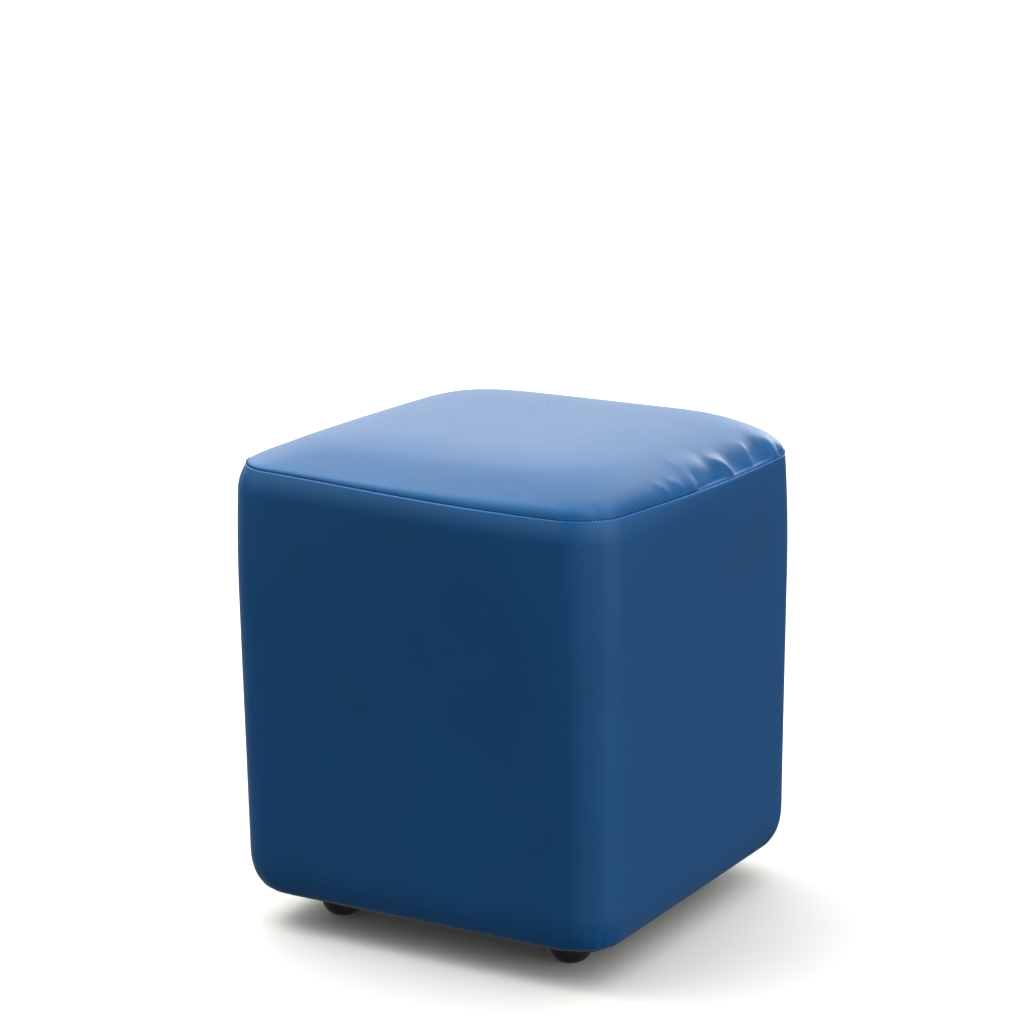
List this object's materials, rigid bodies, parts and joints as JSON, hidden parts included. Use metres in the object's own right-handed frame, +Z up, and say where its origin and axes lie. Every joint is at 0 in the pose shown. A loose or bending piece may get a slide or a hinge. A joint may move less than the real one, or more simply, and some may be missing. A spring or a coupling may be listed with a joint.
{
  "type": "cube pouf stool",
  "caption": "Cube-shaped upholstered pouf stool with a crowned padded top, rounded leatherette sides and small round black glides underneath.",
  "frame": {"origin": "on the floor, under the middle of the stool", "axes": "+Z up; the front face looks along -Y; +X to the right as seen from the front"},
  "size_m": [0.3882, 0.3882, 0.4401],
  "materials": {
    "top_leatherette": "smooth blue leatherette with a fine grain and a soft satin sheen",
    "side_leatherette": "smooth blue leatherette with a fine grain and a soft satin sheen",
    "black_board": "matt black lining cloth stretched over the base board",
    "black_glide": "satin black moulded plastic"
  },
  "bodies": {
    "root": {"top_panel": "top_leatherette", "side_band": "side_leatherette", "base_board": "black_board", "foot_front_left": "black_glide", "foot_front_right": "black_glide", "foot_back_left": "black_glide", "foot_back_right": "black_glide"}
  },
  "joints": []
}
